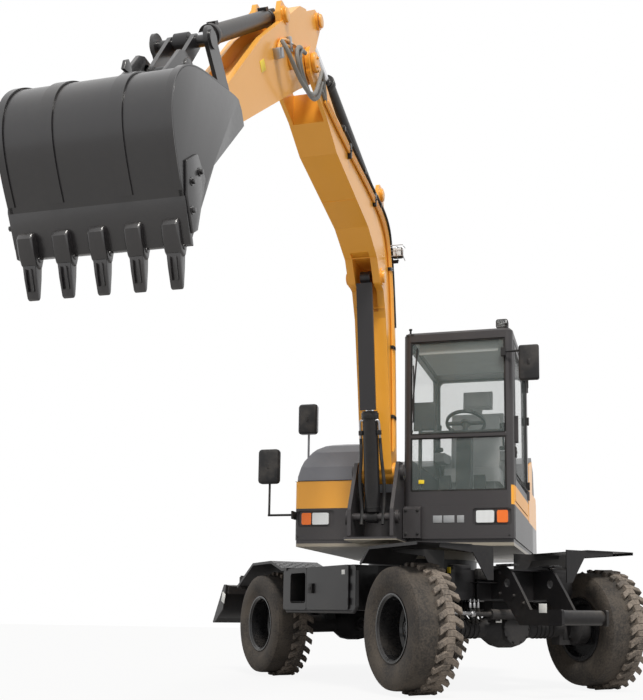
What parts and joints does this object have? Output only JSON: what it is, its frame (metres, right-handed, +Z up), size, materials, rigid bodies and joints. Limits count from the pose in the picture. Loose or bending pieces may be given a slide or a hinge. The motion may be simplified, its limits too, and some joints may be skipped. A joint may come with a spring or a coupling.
{
  "type": "wheeled excavator",
  "caption": "Wheeled excavator with a raised boom, arm and bucket on a swinging upper structure with a cab, on four wheels with a dozer blade.",
  "frame": {"origin": "on the ground under the middle of the overall length and width", "axes": "+Z up, -Y the way the upper structure faces, +X the cab side"},
  "size_m": [4.6517, 8.9805, 4.5956],
  "materials": {
    "orange_paint": "gloss",
    "dark_paint": "gloss",
    "grey_paint": "gloss",
    "charcoal_paint": "satin",
    "bucket_paint": "satin",
    "rim_paint": "gloss",
    "tyre_rubber": "matte",
    "tinted_glass": "gloss",
    "chrome_rod": "polished",
    "seat_fabric": "matte",
    "black_plastic": "satin",
    "lamp_lens": "gloss",
    "cast_iron": "rough"
  },
  "bodies": {
    "undercarriage": {"chassis_frame": "dark_paint", "front_axle": "cast_iron", "rear_axle": "cast_iron", "fenders": "dark_paint", "cabinets": "dark_paint"},
    "cabinet_door": {"cabinet_door": "dark_paint"},
    "knuckle_left": {"knuckle_left": "cast_iron"},
    "knuckle_right": {"knuckle_right": "cast_iron"},
    "blade": {"blade": "dark_paint"},
    "upper": {"deck": "charcoal_paint", "counterweight": "orange_paint", "lower_walls": "charcoal_paint", "body_panels": "orange_paint", "engine_block": "cast_iron", "rear_hood": "charcoal_paint", "cab": "charcoal_paint", "cab_glass": "tinted_glass", "seat": "seat_fabric", "console": "black_plastic", "mirrors": "black_plastic", "headlamps": "lamp_lens"},
    "hood": {"hood": "grey_paint"},
    "cab_door": {"cab_door": "charcoal_paint", "door_glass": "tinted_glass"},
    "boom": {"boom": "orange_paint"},
    "arm": {"arm": "orange_paint"},
    "bucket": {"bucket": "bucket_paint"},
    "rocker": {"rocker": "bucket_paint"},
    "bucket_link": {"bucket_link": "bucket_paint"},
    "wheel_front_right": {"tyre_front_right": "tyre_rubber", "rim_front_right": "rim_paint"},
    "wheel_front_left": {"tyre_front_left": "tyre_rubber", "rim_front_left": "rim_paint"},
    "wheel_rear_right": {"tyre_rear_right": "tyre_rubber", "rim_rear_right": "rim_paint"},
    "wheel_rear_left": {"tyre_rear_left": "tyre_rubber", "rim_rear_left": "rim_paint"},
    "blade_cylinder_barrel": {"blade_cylinder_barrel": "dark_paint"},
    "blade_cylinder_rod": {"blade_cylinder_rod": "chrome_rod"},
    "boom_cylinder_barrel": {"boom_cylinder_barrel": "dark_paint"},
    "boom_cylinder_rod": {"boom_cylinder_rod": "chrome_rod"},
    "arm_cylinder_barrel": {"arm_cylinder_barrel": "dark_paint"},
    "arm_cylinder_rod": {"arm_cylinder_rod": "chrome_rod"},
    "bucket_cylinder_barrel": {"bucket_cylinder_barrel": "dark_paint"},
    "bucket_cylinder_rod": {"bucket_cylinder_rod": "chrome_rod"}
  },
  "joints": [
    {"name": "wheel_front_right", "type": "hinge", "parent": "knuckle_right", "child": "wheel_front_right", "pos_m": [0.45821, 0.24994, 0.53], "axis": [0.7766, 0.63, 0], "continuous": true},
    {"name": "wheel_front_left", "type": "hinge", "parent": "knuckle_left", "child": "wheel_front_left", "pos_m": [1.87547, 1.53006, 0.53], "axis": [0.7766, 0.63, 0], "continuous": true},
    {"name": "wheel_rear_right", "type": "hinge", "parent": "undercarriage", "child": "wheel_rear_right", "pos_m": [-1.33416, 2.14074, 0.53], "axis": [0.726, 0.6877, 0], "continuous": true},
    {"name": "wheel_rear_left", "type": "hinge", "parent": "undercarriage", "child": "wheel_rear_left", "pos_m": [0.05318, 3.45498, 0.53], "axis": [0.726, 0.6877, 0], "continuous": true},
    {"name": "steer_left", "type": "hinge", "parent": "undercarriage", "child": "knuckle_left", "pos_m": [1.64598, 1.34389, 0.53], "axis": [0, 0, 1], "range_deg": [-28, 28]},
    {"name": "steer_right", "type": "hinge", "parent": "undercarriage", "child": "knuckle_right", "pos_m": [0.6877, 0.4361, 0.53], "axis": [0, 0, 1], "range_deg": [-28.5, 28.5]},
    {"name": "cabinet_door_swing", "type": "hinge", "parent": "undercarriage", "child": "cabinet_door", "pos_m": [-0.13232, 0.63867, 0.87], "axis": [0, 0, 1], "range_deg": [0, 100]},
    {"name": "blade_lift", "type": "hinge", "parent": "undercarriage", "child": "blade", "pos_m": [-0.92314, 3.09624, 0.64], "axis": [0.726, 0.6877, 0], "range_deg": [-46, 4]},
    {"name": "blade_cylinder_tilt", "type": "hinge", "parent": "undercarriage", "child": "blade_cylinder_barrel", "pos_m": [-0.79935, 2.96556, 0.93], "axis": [0.726, 0.6877, 0], "range_deg": [-27.03, 2.81]},
    {"name": "blade_cylinder_stroke", "type": "slide", "parent": "blade_cylinder_barrel", "child": "blade_cylinder_rod", "axis": [-0.66, 0.6967, -0.2813], "range_m": [-0.01442, 0.14484]},
    {"name": "swing", "type": "hinge", "parent": "undercarriage", "child": "upper", "pos_m": [0.301, 1.804, 1.2], "axis": [0, 0, 1], "continuous": true},
    {"name": "hood_lift", "type": "hinge", "parent": "upper", "child": "hood", "pos_m": [-0.349, 2.344, 2.162], "axis": [-1, 0, 0], "range_deg": [0, 55]},
    {"name": "cab_door_swing", "type": "hinge", "parent": "upper", "child": "cab_door", "pos_m": [1.2963, 2.144, 2.3], "axis": [0, 0, 1], "range_deg": [0, 100]},
    {"name": "boom_lift", "type": "hinge", "parent": "upper", "child": "boom", "pos_m": [0.151, 0.554, 1.84], "axis": [-1, 0, 0], "range_deg": [-75, 6]},
    {"name": "boom_cylinder_tilt", "type": "hinge", "parent": "upper", "child": "boom_cylinder_barrel", "pos_m": [0.151, 0.348, 1.441], "axis": [1, 0, 0], "range_deg": [-5.98, 69.06]},
    {"name": "boom_cylinder_stroke", "type": "slide", "parent": "boom_cylinder_barrel", "child": "boom_cylinder_rod", "axis": [0, -0.1592, 0.9873], "range_m": [-0.51083, 0.04271]},
    {"name": "arm_crowd", "type": "hinge", "parent": "boom", "child": "arm", "pos_m": [0.151, -1.986, 4.13], "axis": [1, 0, 0], "range_deg": [-38, 72]},
    {"name": "arm_cylinder_tilt", "type": "hinge", "parent": "boom", "child": "arm_cylinder_barrel", "pos_m": [0.151, 0.164, 4.17], "axis": [1, 0, 0], "range_deg": [-0.83, 1.13]},
    {"name": "arm_cylinder_stroke", "type": "slide", "parent": "arm_cylinder_barrel", "child": "arm_cylinder_rod", "axis": [0, -0.9826, 0.1855], "range_m": [-0.26238, 0.49534]},
    {"name": "bucket_curl", "type": "hinge", "parent": "arm", "child": "bucket", "pos_m": [0.151, -3.586, 2.925], "axis": [1, 0, 0], "range_deg": [-12, 125]},
    {"name": "rocker_tilt", "type": "hinge", "parent": "arm", "child": "rocker", "pos_m": [0.151, -3.356, 3.05], "axis": [1, 0, 0], "range_deg": [-7.1, 69.23]},
    {"name": "link_tilt", "type": "hinge", "parent": "rocker", "child": "bucket_link", "pos_m": [0.151, -3.626, 3.3], "axis": [1, 0, 0], "range_deg": [-17.6, 2.14]},
    {"name": "bucket_cylinder_tilt", "type": "hinge", "parent": "arm", "child": "bucket_cylinder_barrel", "pos_m": [0.151, -2.456, 4.17], "axis": [1, 0, 0], "range_deg": [-1.28, 8.65]},
    {"name": "bucket_cylinder_stroke", "type": "slide", "parent": "bucket_cylinder_barrel", "child": "bucket_cylinder_rod", "axis": [0, -0.8025, -0.5967], "range_m": [-0.03678, 0.36432]}
  ],
  "couplings": [
    {"joint": "steer_right", "follows": "steer_left", "ratio": 1},
    {"joint": "blade_cylinder_tilt", "follows": "blade_lift", "ratio": 0.56534},
    {"joint": "blade_cylinder_stroke", "follows": "blade_lift", "m_per_rad": -0.17443},
    {"joint": "boom_cylinder_tilt", "follows": "boom_lift", "ratio": -0.89619},
    {"joint": "boom_cylinder_stroke", "follows": "boom_lift", "m_per_rad": 0.3811},
    {"joint": "arm_cylinder_tilt", "follows": "arm_crowd", "ratio": 0.008562},
    {"joint": "arm_cylinder_stroke", "follows": "arm_crowd", "m_per_rad": 0.38489},
    {"joint": "rocker_tilt", "follows": "bucket_curl", "ratio": 0.53909},
    {"joint": "link_tilt", "follows": "bucket_curl", "ratio": -0.13412},
    {"joint": "bucket_cylinder_tilt", "follows": "bucket_curl", "ratio": 0.063893},
    {"joint": "bucket_cylinder_stroke", "follows": "bucket_curl", "m_per_rad": 0.16282}
  ]
}
